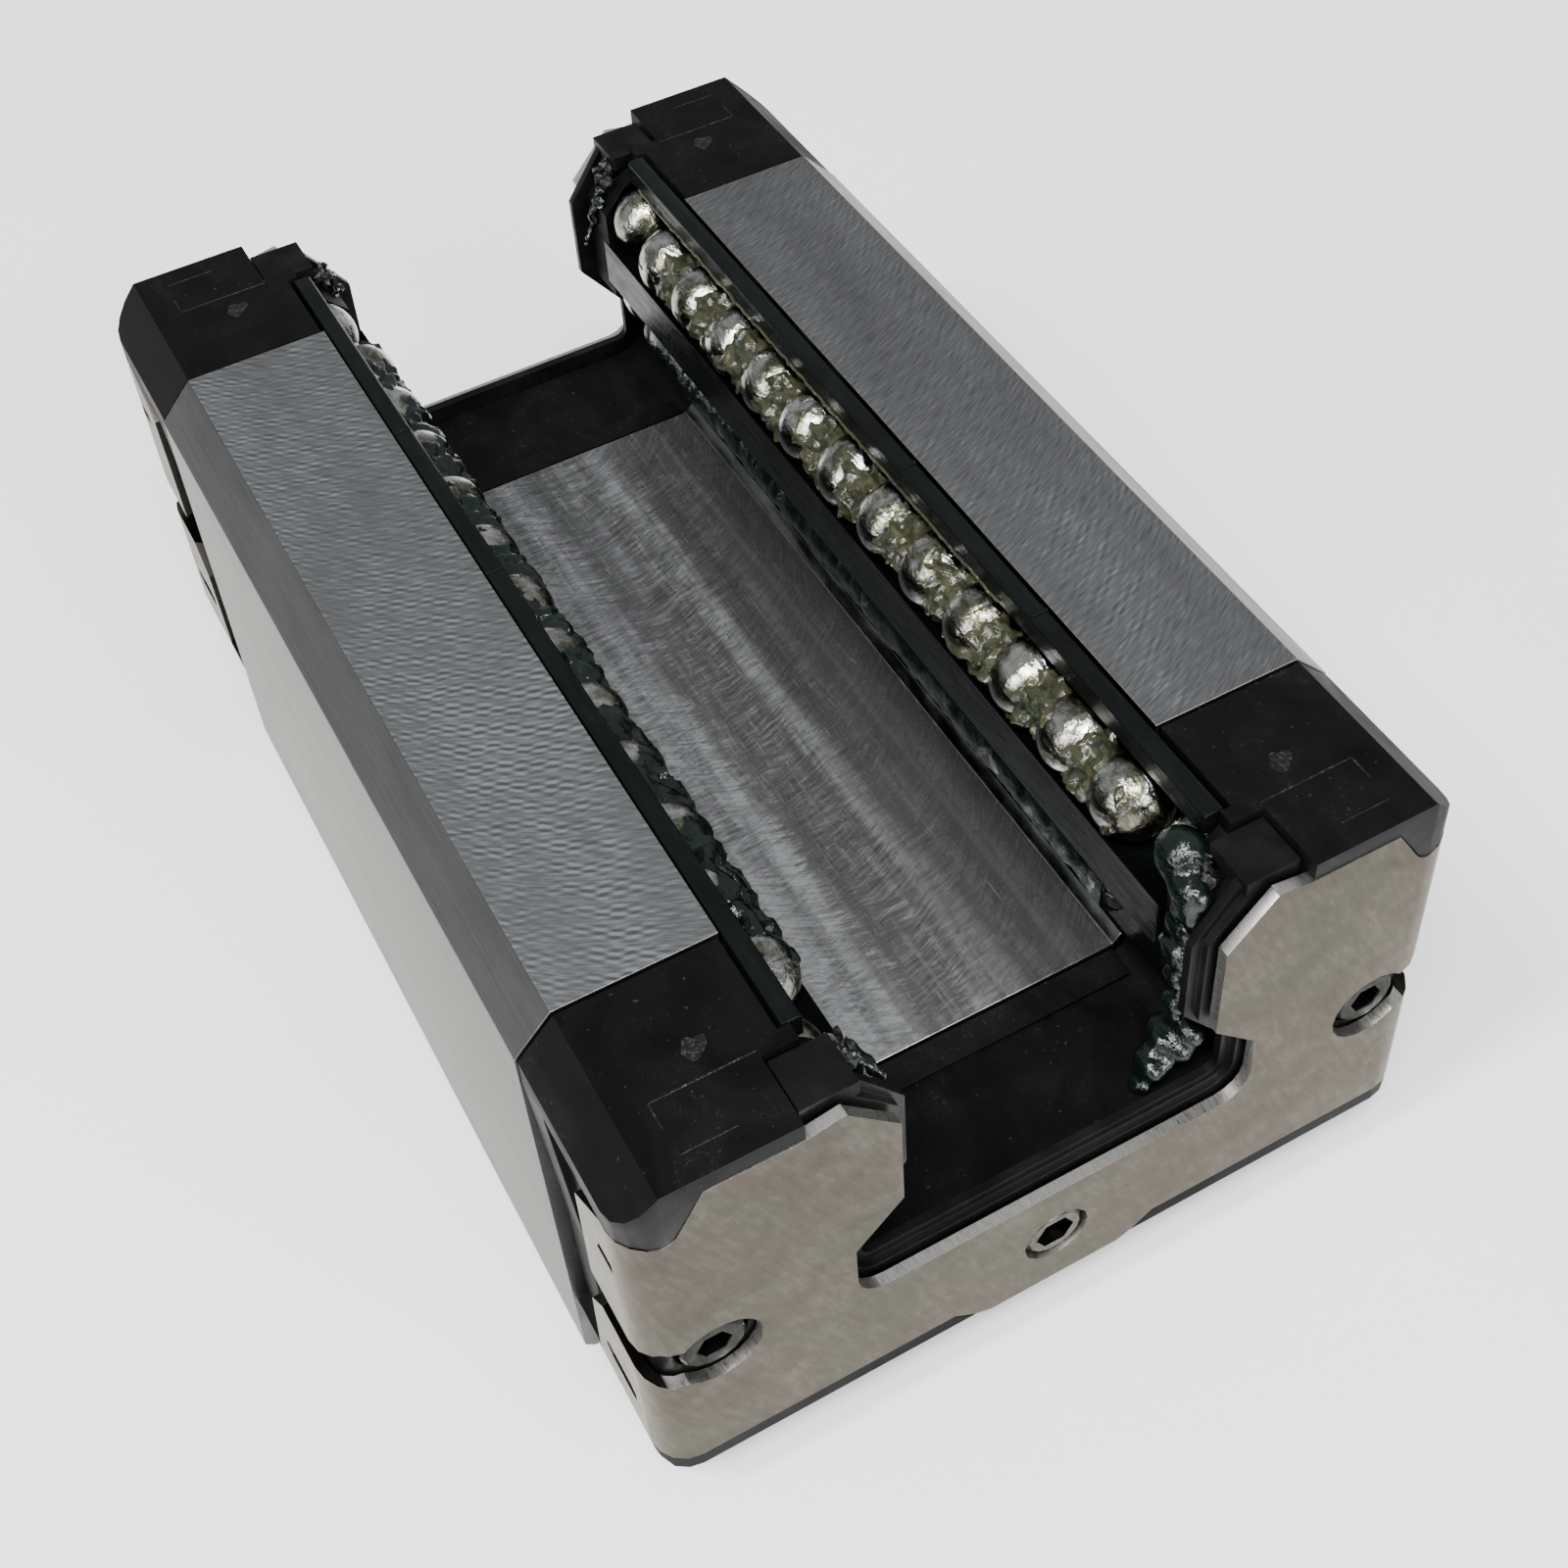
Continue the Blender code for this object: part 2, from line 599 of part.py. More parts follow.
def make_cap_screws(paint):
    """Socket head screws that clamp each end cap to the body; the head faces -Z in its own frame."""
    profile = [
        (0, 0),
        (SCREW_HEAD_RADIUS - 0.3 * MM, 0),
        (SCREW_HEAD_RADIUS, 0.3 * MM),
        (SCREW_HEAD_RADIUS, SCREW_HEAD_HEIGHT),
        (SCREW_RADIUS, SCREW_HEAD_HEIGHT),
        (SCREW_RADIUS, SCREW_HEAD_HEIGHT + SCREW_LENGTH - 0.5 * MM),
        (SCREW_RADIUS - 0.4 * MM, SCREW_HEAD_HEIGHT + SCREW_LENGTH),
        (0, SCREW_HEAD_HEIGHT + SCREW_LENGTH),
    ]
    screw = cutter(turned(profile, 14))
    carve(screw, [cutter(extruded(hex_outline(2.5 * MM), -MM, 1.5 * MM, "Z"))])
    mesh = screw.data
    bpy.data.objects.remove(screw, do_unlink=True)
    head_face = PLATE_SEAT + 0.6 * MM
    for end, sy in FRONT_REAR.items():
        for side, sx in LEFT_RIGHT.items():
            spot = (sx * SCREW_X, sy * head_face, SCREW_Z)
            place(f"cap_screw_{end}_{side}", mesh, paint, spot, (sy * math.pi / 2, 0, 0))


def make_port_screws(paint):
    """Set screws that plug the grease ports; the socket faces -Z in its own frame."""
    bevel = 0.35 * MM
    profile = [
        (0, 0),
        (PORT_SCREW_RADIUS - bevel, 0),
        (PORT_SCREW_RADIUS, bevel),
        (PORT_SCREW_RADIUS, PORT_SCREW_LENGTH - bevel),
        (PORT_SCREW_RADIUS - bevel, PORT_SCREW_LENGTH),
        (0, PORT_SCREW_LENGTH),
    ]
    screw = cutter(turned(profile, 14))
    carve(screw, [cutter(extruded(hex_outline(3.0 * MM), -MM, 3.0 * MM, "Z"))])
    mesh = screw.data
    bpy.data.objects.remove(screw, do_unlink=True)
    for end, sy in FRONT_REAR.items():
        spot = (0, sy * (LENGTH / 2 - 0.2 * MM), PORT_Z)
        place(f"grease_port_screw_{end}", mesh, paint, spot, (sy * math.pi / 2, 0, 0))


# ---------------------------------------------------------------- balls


def ball_string(count, pitch, steps):
    """Balls in file along Z, centred on the origin and joined by thin necks where they touch."""
    neck_angle = math.asin(NECK_RADIUS / BALL_RADIUS)
    bands = 4
    profile = [(0, -BALL_RADIUS - (count - 1) * pitch / 2)]
    for i in range(count):
        middle = (i - (count - 1) / 2) * pitch
        for k in range(bands + 1):
            angle = neck_angle + (math.pi - 2 * neck_angle) * k / bands
            profile.append((BALL_RADIUS * math.sin(angle), middle - BALL_RADIUS * math.cos(angle)))
    profile.append((0, BALL_RADIUS + (count - 1) * pitch / 2))
    return turned(profile, steps)


def make_ball_rows(paint):
    load = ball_string(BALLS_PER_ROW, BALL_PITCH, 8)
    back = ball_string(BALLS_PER_ROW, BALL_PITCH, 6)
    lying = (-math.pi / 2, 0, 0)
    for row, height in ROW_HEIGHT.items():
        for side, sx in LEFT_RIGHT.items():
            place(f"load_balls_{row}_{side}", load, paint, (sx * LOAD_X, REST_SHIFT, height), lying)
            place(f"return_balls_{row}_{side}", back, paint, (sx * RETURN_X, -REST_SHIFT, height), lying)


def make_turn_balls(paint):
    """Two balls in each end turn, hung on an empty that stands on the turn's axis."""
    half_span = math.asin(BALL_PITCH / (2 * TURN_RADIUS))
    pair = ball_string(2, BALL_PITCH, 8)
    chord_reach = TURN_RADIUS * math.cos(half_span)
    for row, height in ROW_HEIGHT.items():
        for end, sy in FRONT_REAR.items():
            for side, sx in LEFT_RIGHT.items():
                name = f"turn_balls_{row}_{end}_{side}"
                pivot = bpy.data.objects.new(f"{name}_axis", None)
                bpy.context.scene.collection.objects.link(pivot)
                pivot.location = (sx * TURN_X, sy * TURN_Y, height)
                pivot.empty_display_size = 3 * MM
                advance = sy * REST_SHIFT / TURN_RADIUS
                turn = math.pi / 2 + advance
                outward = Vector((-sx * math.cos(turn), sy * math.sin(turn), 0))
                facing = math.atan2(outward.y, outward.x)
                rotation = (math.pi / 2, 0, facing)
                place(name, pair, paint, outward * chord_reach, rotation, pivot)


def main():
    clear_scene()
    paints = {name: make_paint(name) for name in PAINTS}
    make_steel_body(paints["ground_steel"])
    make_end_caps(paints["cap_plastic"])
    make_turn_guides(paints["retainer_plastic"])
    make_long_parts(paints)
    make_end_seals(paints["seal_rubber"])
    make_scraper_plates(paints["plate_steel"])
    make_cap_screws(paints["black_screw"])
    make_port_screws(paints["bright_screw"])
    make_ball_rows(paints["ball_steel"])
    make_turn_balls(paints["ball_steel"])


main()
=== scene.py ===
"""Looks of the linear guide carriage: bevelled copies of the CAD solids, real balls, grease and materials.

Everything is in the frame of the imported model: X across, Y along the rail, Z up from the mounting face.
Lengths in the code are metres; MM turns millimetres into them.
"""

import math
import random

import bmesh
import bpy
from mathutils import Matrix, Vector, noise


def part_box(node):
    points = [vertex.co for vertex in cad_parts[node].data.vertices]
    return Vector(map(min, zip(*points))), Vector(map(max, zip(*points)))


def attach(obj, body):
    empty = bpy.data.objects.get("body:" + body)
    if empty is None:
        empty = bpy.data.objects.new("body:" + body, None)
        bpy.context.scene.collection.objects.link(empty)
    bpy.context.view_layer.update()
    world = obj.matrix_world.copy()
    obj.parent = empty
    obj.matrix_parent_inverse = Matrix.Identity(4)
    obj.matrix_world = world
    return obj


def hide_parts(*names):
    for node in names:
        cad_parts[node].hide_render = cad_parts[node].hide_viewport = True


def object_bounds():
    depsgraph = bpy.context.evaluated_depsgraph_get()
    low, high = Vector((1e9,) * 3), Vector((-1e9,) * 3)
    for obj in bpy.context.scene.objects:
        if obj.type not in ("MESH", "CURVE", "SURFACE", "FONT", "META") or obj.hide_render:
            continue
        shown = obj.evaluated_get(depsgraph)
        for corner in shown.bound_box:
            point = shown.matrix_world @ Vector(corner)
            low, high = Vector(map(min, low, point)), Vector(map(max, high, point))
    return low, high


MM = 0.001
BALL_RADIUS = 3.572 * MM
BALLS_PER_ROW = 12
FLOOR_LEVEL = 20.4 * MM  # channel floor of the end caps
FLUSH = 0.1 * MM  # a face this near to a side of the body's box lies on it
SIDES = {"left": -1, "right": 1}
ENDS = {"front": -1, "rear": 1}
ROWS = ("outer", "inner")

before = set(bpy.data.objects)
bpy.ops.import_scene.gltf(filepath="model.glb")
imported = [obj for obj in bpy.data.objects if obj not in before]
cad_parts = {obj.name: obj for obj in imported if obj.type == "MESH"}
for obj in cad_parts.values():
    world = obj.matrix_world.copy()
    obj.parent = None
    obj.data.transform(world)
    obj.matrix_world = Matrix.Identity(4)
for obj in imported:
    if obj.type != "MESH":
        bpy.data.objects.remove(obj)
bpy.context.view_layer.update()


# ---------------------------------------------------------------- material shorthand


class Paint:
    """A Principled material under construction, with coordinates in millimetres."""

    def __init__(self, name, colour, metallic, roughness, **sockets):
        self.material = bpy.data.materials.new(name)
        self.material.use_nodes = True
        self.tree = self.material.node_tree
        self.shader = self.tree.nodes["Principled BSDF"]
        self.set("Base Color", (*colour, 1))
        self.set("Metallic", metallic)
        self.set("Roughness", roughness)
        for socket, value in sockets.items():
            self.set(socket.replace("_", " "), value)
        place = self.add("ShaderNodeTexCoord")
        scaled = self.add("ShaderNodeVectorMath", operation="SCALE")
        scaled.inputs["Scale"].default_value = 1000
        self.join(place.outputs["Object"], scaled.inputs[0])
        self.mm = scaled.outputs[0]
        split = self.add("ShaderNodeSeparateXYZ")
        self.join(self.mm, split.inputs[0])
        self.x, self.y, self.z = split.outputs

    def add(self, kind, **attributes):
        node = self.tree.nodes.new(kind)
        for name, value in attributes.items():
            setattr(node, name, value)
        return node

    def join(self, source, target):
        if isinstance(source, (int, float, tuple)):
            target.default_value = source
        else:
            self.tree.links.new(source, target)

    def set(self, socket, value):
        self.shader.inputs[socket].default_value = value

    def drive(self, socket, source):
        self.join(source, self.shader.inputs[socket])

    def calc(self, operation, a, b=0.0, c=0.0):
        node = self.add("ShaderNodeMath", operation=operation)
        for value, socket in zip((a, b, c), node.inputs):
            self.join(value, socket)
        return node.outputs[0]

    def fit(self, value, low, high, to_low=0.0, to_high=1.0):
        """Value rescaled from low..high to to_low..to_high, and held inside."""
        node = self.add("ShaderNodeMapRange")
        for number, socket in zip((value, low, high, to_low, to_high), node.inputs):
            self.join(number, socket)
        return node.outputs[0]

    def sway(self, value, gain, base):
        """Base, moved by gain times what the value is away from its middle, 0.5."""
        return self.calc("MULTIPLY_ADD", self.calc("SUBTRACT", value, 0.5), gain, base)

    def times(self, a, b):
        return self.calc("MULTIPLY", a, b)

    def gap(self, value, centre):
        """Distance between the value and the centre."""
        return self.calc("ABSOLUTE", self.calc("SUBTRACT", value, centre))

    def hairlines(self, field, width):
        """Thin lines, 1 in their middle, where the field crosses 0.5."""
        return self.fit(self.gap(field, 0.5), 0.0, width, 1.0, 0.0)

    def vector(self, x, y, z):
        node = self.add("ShaderNodeCombineXYZ")
        for value, socket in zip((x, y, z), node.inputs):
            self.join(value, socket)
        return node.outputs[0]

    def stretched(self, x, y, z):
        """Coordinates multiplied by x, y and z, in cycles per millimetre."""
        node = self.add("ShaderNodeVectorMath", operation="MULTIPLY")
        self.join(self.mm, node.inputs[0])
        node.inputs[1].default_value = (x, y, z)
        return node.outputs[0]

    def noise(self, where, detail=3.0, roughness=0.55, distortion=0.0):
        node = self.add("ShaderNodeTexNoise")
        self.join(where, node.inputs["Vector"])
        node.inputs["Scale"].default_value = 1.0
        node.inputs["Detail"].default_value = detail
        node.inputs["Roughness"].default_value = roughness
        node.inputs["Distortion"].default_value = distortion
        return node.outputs["Fac"]

    def cells(self, where):
        node = self.add("ShaderNodeTexVoronoi")
        self.join(where, node.inputs["Vector"])
        node.inputs["Scale"].default_value = 1.0
        return node.outputs["Distance"]

    def ramp(self, value, *stops):
        """Colours along a value: each stop is (position, colour)."""
        node = self.add("ShaderNodeValToRGB")
        self.join(value, node.inputs[0])
        elements = node.color_ramp.elements
        while len(elements) < len(stops):
            elements.new(0.5)
        for element, (position, colour) in zip(elements, stops):
            element.position = position
            element.color = (*colour, 1)
        return node.outputs[0]

    def blend(self, share, a, b, mode="MIX"):
        node = self.add("ShaderNodeMix", data_type="RGBA", blend_type=mode)
        for value, socket in zip((share, a, b), (node.inputs[0], node.inputs[6], node.inputs[7])):
            self.join((*value, 1) if isinstance(value, tuple) else value, socket)
        return node.outputs[2]

    def bump(self, height, distance, strength=1.0):
        """Relief of the given height in metres, on top of any relief given before."""
        node = self.add("ShaderNodeBump")
        node.inputs["Strength"].default_value = strength
        node.inputs["Distance"].default_value = distance
        self.join(height, node.inputs["Height"])
        before = self.shader.inputs["Normal"]
        if before.is_linked:
            self.join(before.links[0].from_socket, node.inputs["Normal"])
        self.join(node.outputs[0], before)

    def tool_arc(self, radius, centre_x, direction):
        """Coordinate that is constant along the arcs which a round tool leaves as it feeds along Y."""
        across = self.calc("SUBTRACT", self.x, centre_x)
        square = self.calc("SUBTRACT", radius * radius, self.times(across, across))
        return self.calc("MULTIPLY_ADD", self.calc("SQRT", square), direction, self.y)


def grey(value, warm=0.0):
    return (value * (1 + warm), value, value * (1 - warm))


BLACK_TO_WHITE = ((0, grey(0)), (1, grey(1)))


# ---------------------------------------------------------------- metals


def milled_steel():
    """Face-milled leg tops: fine cutter arcs, broken into columns where two passes cross and painted with
    glints as painted highlights, strongest at the near end of the left leg; the near end is also painted
    lighter and the right leg darker, as painted light and shade.
    """
    paint = Paint("milled_steel", grey(0.2), 1.0, 0.36)
    cutter_radius, fine_feed, crossed_feed, column_pitch = 52.6, 0.8, 2.3, 2.1
    leading = paint.tool_arc(cutter_radius, 0.0, 1)
    trailing = paint.tool_arc(cutter_radius, 0.0, -1)
    drift = paint.noise(paint.stretched(0.35, 0.2, 0.1), 3)
    fine = paint.calc("MULTIPLY_ADD", drift, 7.0, paint.times(leading, math.tau / fine_feed))
    fine = paint.calc("SINE", fine)
    crossed = paint.calc("MULTIPLY_ADD", drift, 5.0, paint.times(trailing, math.tau / crossed_feed))
    crossed = paint.calc("SINE", crossed)
    column = paint.calc("MULTIPLY_ADD", paint.y, 0.035, paint.calc("MULTIPLY_ADD", drift, 0.7, paint.x))
    column = paint.calc("SINE", paint.times(column, math.tau / column_pitch))
    grain = paint.noise(paint.vector(paint.times(leading, 5), paint.times(paint.x, 0.45), 0.0), 4, 0.7)
    cloud = paint.noise(paint.stretched(0.22, 0.05, 0.2), 3)
    # painted light: the glints are laid on stronger toward the near end and the left leg, where the light
    # falls
    near, left = paint.fit(paint.y, 30, -38, 0.65, 1.5), paint.fit(paint.x, -10, 10, 1.0, 0.3)
    strength = paint.times(paint.fit(cloud, 0.38, 0.62, 0.05, 0.24), paint.times(near, left))
    marks_and_painted_glints = paint.calc("MULTIPLY_ADD", paint.times(fine, column), 0.8, paint.times(fine, crossed))
    tone_and_painted_sheen = paint.sway(cloud, 0.3, paint.calc("MULTIPLY_ADD", marks_and_painted_glints, strength, grain))
    # painted light and shade: lighter toward the near end, darker toward the right leg
    tone_and_painted_sheen = paint.calc("ADD", tone_and_painted_sheen, paint.fit(paint.y, 35, -42, -0.03, 0.06))
    tone_and_painted_sheen = paint.calc("ADD", tone_and_painted_sheen, paint.fit(paint.x, -10, 10, 0.0, -0.09))
    # the bluish top of this ramp colours the painted glints
    tone = paint.ramp(tone_and_painted_sheen, (0.25, grey(0.12)), (0.52, grey(0.25)), (0.85, (0.56, 0.59, 0.6)))
    paint.drive("Base Color", tone)
    paint.drive("Roughness", paint.fit(tone_and_painted_sheen, 0.2, 0.9, 0.44, 0.26))
    paint.bump(fine, 0.003 * MM, 0.4)
    paint.bump(grain, 0.01 * MM, 0.4)
    return paint.material


def ground_steel():
    """Ground chamfers and ends, with fine lines along the body."""
    paint = Paint("ground_steel", grey(0.3), 1.0, 0.36)
    lines = paint.noise(paint.stretched(9, 0.07, 9), 4, 0.7)
    patches = paint.noise(paint.stretched(0.3, 0.08, 0.3), 3)
    tone = paint.sway(patches, 0.6, lines)
    paint.drive("Base Color", paint.ramp(tone, (0.25, grey(0.06)), (0.75, grey(0.14))))
    paint.drive("Roughness", paint.fit(tone, 0.2, 0.8, 0.45, 0.28))
    paint.bump(lines, 0.02 * MM, 0.4)
    return paint.material


def lapped_steel():
    """Reference sides and mounting face: ground almost to a mirror, with wiping haze and fine scratches."""
    paint = Paint("lapped_steel", grey(0.24, 0.02), 1.0, 0.12)
    lines = paint.noise(paint.stretched(9, 0.05, 9), 4, 0.7)
    haze = paint.noise(paint.stretched(0.11, 0.05, 0.13), 4, 0.6, 1.2)
    wipe = paint.noise(paint.stretched(0.9, 0.06, 0.9), 3, 0.6, 0.8)
    hair = paint.noise(paint.stretched(0.16, 0.1, 0.16), 2, 0.5, 2.2)
    scratch = paint.times(paint.hairlines(hair, 0.003), paint.fit(wipe, 0.45, 0.6, 0.0, 0.6))
    film = paint.sway(wipe, 0.5, haze)
    thin, usual, thick = 0.3, 0.5, 0.7
    tone = paint.ramp(
        film, (thin, (0.192, 0.19, 0.18)), (usual, (0.23, 0.228, 0.216)), (thick, (0.275, 0.272, 0.258))
    )
    glance = paint.ramp(
        film, (thin, (0.245, 0.243, 0.228)), (usual, (0.29, 0.287, 0.27)), (thick, (0.338, 0.334, 0.316))
    )
    paint.drive("Base Color", paint.blend(scratch, tone, (0.05, 0.05, 0.045)))
    paint.drive("Specular Tint", paint.blend(scratch, glance, (0.06, 0.06, 0.055)))
    paint.drive("Roughness", paint.fit(paint.calc("ADD", lines, film), 0.6, 1.4, 0.08, 0.26))
    paint.bump(lines, 0.012 * MM, 0.3)
    return paint.material


def brushed_floor():
    """Channel floor, brushed by hand in overlapping arcs and scratched along its length, with a painted
    highlight line along each side.
    """
    paint = Paint("brushed_floor", grey(0.28), 1.0, 0.36)
    arcs = []
    for radius, centre, way in ((22.0, -5.0, 1), (17.5, 3.0, 1), (30.0, 6.0, -1)):
        swirl = paint.tool_arc(radius, centre, way)
        across = paint.times(paint.x, 0.25)
        arcs.append(paint.noise(paint.vector(paint.times(swirl, 3.2), across, radius), 5, 0.75))
    bands = paint.noise(paint.stretched(0.45, 0.018, 1), 3, 0.6)
    frayed = paint.noise(paint.stretched(0.5, 0.12, 1), 5, 0.75, 0.8)
    swirls = [paint.ramp(arc, *BLACK_TO_WHITE) for arc in arcs[:2]]
    swirls = paint.blend(paint.fit(frayed, 0.42, 0.58), *swirls)
    swirls = paint.calc("MULTIPLY_ADD", arcs[2], 0.25, paint.times(swirls, 0.75))
    swirls = paint.sway(swirls, 1.7, 0.5)
    shade = paint.sway(frayed, 0.45, paint.sway(bands, 0.6, swirls))
    # two paler, frayed patches along the floor, at the left and right of the middle
    fray = paint.sway(arcs[0], 11.0, paint.x)
    left_patch = paint.fit(fray, -2.8, -0.6, 1.0, 0.0)
    right_patch = paint.fit(paint.gap(fray, 5.5), 0.8, 3.0, 1.0, 0.0)
    right_patch = paint.times(right_patch, paint.fit(bands, 0.35, 0.55, 0.4, 1.0))
    patches = paint.calc("MAXIMUM", left_patch, right_patch)
    patches = paint.times(patches, paint.fit(paint.y, 38, 0, 0.45, 1.0))
    shade = paint.calc("ADD", shade, paint.calc("MULTIPLY_ADD", patches, 0.22, -0.07))
    # painted highlight: a pale line along each side of the floor, where a small step would catch the light
    painted_rim_highlight_x = 12.2
    painted_rim_highlight = paint.fit(paint.gap(paint.calc("ABSOLUTE", paint.x), painted_rim_highlight_x), 0.1, 0.5, 1.0, 0.0)
    shade = paint.calc("MULTIPLY_ADD", painted_rim_highlight, 0.14, shade)
    cuts = paint.cells(paint.vector(paint.times(arcs[0], 1.5), paint.times(paint.x, 0.5), 0.0))
    scratch = paint.hairlines(paint.noise(paint.stretched(1.6, 0.05, 1), 2, 0.5, 1.6), 0.008)
    scratch = paint.times(scratch, paint.fit(cuts, 0.2, 0.6, 0.1, 0.7))
    tone = paint.ramp(
        shade, (0.22, grey(0.08)), (0.45, grey(0.17)), (0.62, grey(0.32)), (0.82, grey(0.62))
    )
    paint.drive("Base Color", paint.blend(scratch, tone, (0.55, 0.55, 0.52)))
    paint.drive("Roughness", paint.fit(shade, 0.2, 0.9, 0.46, 0.28))
    paint.bump(swirls, 0.02 * MM, 0.6)
    return paint.material


def raceway_steel():
    """Hardened raceway steel, dark with old grease."""
    paint = Paint("raceway_steel", grey(0.12), 1.0, 0.2)
    film = paint.noise(paint.stretched(0.5, 0.2, 0.5), 4)
    paint.drive("Base Color", paint.ramp(film, (0.3, (0.03, 0.04, 0.035)), (0.7, (0.2, 0.21, 0.19))))
    paint.drive("Roughness", paint.fit(film, 0.3, 0.7, 0.1, 0.32))
    return paint.material


def plate_steel():
    """Rolled stainless sheet: cloudy, faintly coloured by heat, with slanting rolling streaks."""
    paint = Paint("plate_steel", (0.1, 0.09, 0.08), 1.0, 0.27, Specular_Tint=(0.74, 0.71, 0.66, 1))
    lean = 0.45
    slant = paint.calc("MULTIPLY_ADD", paint.z, lean, paint.x)
    upright = paint.calc("MULTIPLY_ADD", paint.x, -lean, paint.z)
    streaks = paint.vector(paint.times(slant, 1.5), paint.times(upright, 0.35), paint.y)
    streaks = paint.noise(streaks, 5, 0.65)
    cloud = paint.noise(paint.stretched(0.16, 0.16, 0.2), 4, 0.6, 0.6)
    tint = paint.noise(paint.stretched(0.1, 0.1, 0.13), 2, 0.5, 0.8)
    tone = paint.sway(cloud, 0.9, streaks)
    base = paint.ramp(
        tone, (0.2, (0.052, 0.049, 0.043)), (0.5, (0.068, 0.064, 0.057)), (0.85, (0.1, 0.095, 0.087))
    )
    colour = paint.ramp(tint, (0.35, (0.92, 1.0, 0.95)), (0.5, (1.0, 0.98, 0.93)), (0.62, (1.0, 0.93, 0.93)))
    paint.drive("Base Color", paint.blend(0.8, base, colour, "MULTIPLY"))
    paint.drive("Roughness", paint.fit(tone, 0.2, 0.9, 0.32, 0.24))
    paint.bump(streaks, 0.03 * MM, 0.35)
    paint.bump(cloud, 0.15 * MM, 0.2)
    return paint.material


def cut_edge_painted_highlight():
    """Sheared edge of the sheet, with fine strokes through the thickness; its pale base is a painted
    highlight where the edges catch the light.
    """
    paint = Paint("cut_edge_painted_highlight", (0.72, 0.7, 0.65), 1.0, 0.3)
    strokes = paint.noise(paint.stretched(5, 0.8, 5), 3, 0.7)
    paint.drive("Base Color", paint.ramp(strokes, (0.3, (0.35, 0.34, 0.31)), (0.7, (0.85, 0.83, 0.78))))
    paint.drive("Roughness", paint.fit(strokes, 0.3, 0.7, 0.42, 0.22))
    paint.bump(strokes, 0.02 * MM, 0.5)
    return paint.material


def bearing_ball():
    """Polished balls behind an uneven film of greenish amber grease."""
    paint = Paint("bearing_ball", grey(0.5), 1.0, 0.06, Coat_Weight=1.0, Coat_Roughness=0.04)
    film = paint.noise(paint.stretched(0.42, 0.5, 0.42), 4, 0.6, 0.6)
    smear = paint.noise(paint.stretched(1.6, 0.6, 1.6), 4, 0.65, 1.2)
    cover = paint.fit(paint.calc("MULTIPLY_ADD", smear, 0.35, film), 0.56, 0.74)
    stain = paint.ramp(
        smear, (0.35, (0.015, 0.02, 0.014)), (0.5, (0.08, 0.08, 0.045)), (0.68, (0.24, 0.23, 0.16))
    )
    paint.drive("Base Color", paint.blend(cover, (0.5, 0.5, 0.47), stain))
    paint.drive("Roughness", paint.fit(cover, 0, 1, 0.05, 0.22))
    paint.bump(smear, 0.25 * MM, 0.35)
    paint.bump(film, 0.6 * MM, 0.3)
    return paint.material


def screw_metal(name, colour, roughness):
    """Coated screw steel, worn in small spots."""
    paint = Paint(name, colour, 1.0, roughness, Specular_Tint=(0.7, 0.7, 0.67, 1))
    wear = paint.noise(paint.stretched(1.1, 1.1, 1.1), 4, 0.65)
    darker = tuple(channel * 0.55 for channel in colour)
    lighter = tuple(min(1, channel * 1.5) for channel in colour)
    paint.drive("Base Color", paint.ramp(wear, (0.3, darker), (0.7, lighter)))
    paint.drive("Roughness", paint.fit(wear, 0.3, 0.7, roughness + 0.12, roughness - 0.08))
    paint.bump(wear, 0.03 * MM, 0.4)
    return paint.material


# ---------------------------------------------------------------- plastics, rubber, grease


def cap_plastic():
    """Moulded black plastic: fine grain, pale scuffs, a few fingertips of grease."""
    paint = Paint("cap_plastic", grey(0.003), 0.0, 0.5, Specular_IOR_Level=0.06)
    grain = paint.noise(paint.stretched(6, 6, 6), 3, 0.6)
    smudge = paint.noise(paint.stretched(0.14, 0.1, 0.14), 4, 0.6, 1.0)
    hair = paint.noise(paint.stretched(0.55, 0.35, 0.5), 3, 0.5, 2.5)
    scratch = paint.times(paint.hairlines(hair, 0.0035), paint.fit(smudge, 0.52, 0.62, 0.0, 0.5))
    dust = paint.fit(paint.noise(paint.stretched(2.2, 2.2, 2.2), 2, 0.5), 0.7, 0.78, 0.0, 0.3)
    body = paint.ramp(smudge, (0.3, grey(0.0015)), (0.7, grey(0.004)))
    paint.drive("Base Color", paint.blend(paint.calc("MAXIMUM", scratch, dust), body, (0.06, 0.06, 0.06)))
    paint.drive("Roughness", paint.fit(smudge, 0.3, 0.7, 0.4, 0.6))
    paint.bump(grain, 0.012 * MM, 0.5)
    paint.bump(scratch, 0.03 * MM, 0.5)
    return paint.material


def greased_plastic():
    """Black retainers and strips, wet with grease that has been dragged along the rail."""
    paint = Paint("greased_plastic", (0.002, 0.002, 0.002), 0.0, 0.2, Specular_IOR_Level=0.13)
    drag = paint.noise(paint.stretched(1.6, 0.08, 1.6), 4, 0.6, 0.7)
    patch = paint.noise(paint.stretched(0.25, 0.12, 0.25), 4, 0.6, 0.8)
    wet = paint.calc("MULTIPLY_ADD", drag, 0.5, patch)
    tone = paint.ramp(wet, (0.55, (0.0012, 0.0014, 0.0014)), (0.95, (0.004, 0.005, 0.0047)))
    paint.drive("Base Color", tone)
    paint.drive("Roughness", paint.fit(wet, 0.55, 0.95, 0.4, 0.12))
    paint.bump(drag, 0.12 * MM, 0.4)
    paint.bump(patch, 0.3 * MM, 0.3)
    return paint.material


